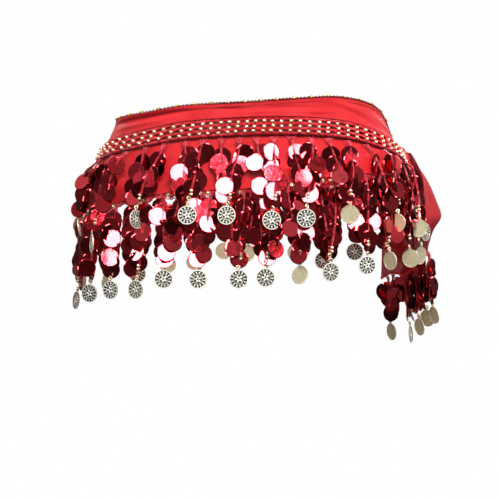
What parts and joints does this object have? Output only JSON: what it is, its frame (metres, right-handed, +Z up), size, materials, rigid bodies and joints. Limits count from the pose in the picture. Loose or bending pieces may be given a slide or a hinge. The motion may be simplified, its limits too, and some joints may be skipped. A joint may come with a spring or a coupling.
{
  "type": "belly dance hip scarf",
  "caption": "Worn belly dance hip scarf: chiffon strip knotted at one hip, crocheted bead band, and two rows of sequin dangles ending in coins.",
  "frame": {"origin": "centre of the wearer's hips, level with the bead band at the sides", "axes": "+X to the wearer's right, +Y the way the wearer faces, +Z up"},
  "size_m": [0.3747, 0.257, 0.2781],
  "materials": {
    "chiffon": "soft sheer chiffon",
    "crochet": "shiny crocheted thread",
    "sequins": "mirror foil",
    "gold_beads": "polished gold colour",
    "coins": "antiqued stamped metal"
  },
  "bodies": {
    "root": {"wrap_cloth": "chiffon", "knot": "chiffon", "tail_back": "chiffon", "tail_front": "chiffon", "top_edging": "crochet", "bead_band": "crochet", "tail_back_band": "crochet", "tail_front_band": "crochet", "fringe_upper": "sequins", "fringe_lower": "sequins", "tail_back_fringe": "sequins", "tail_front_fringe": "sequins"}
  },
  "joints": []
}
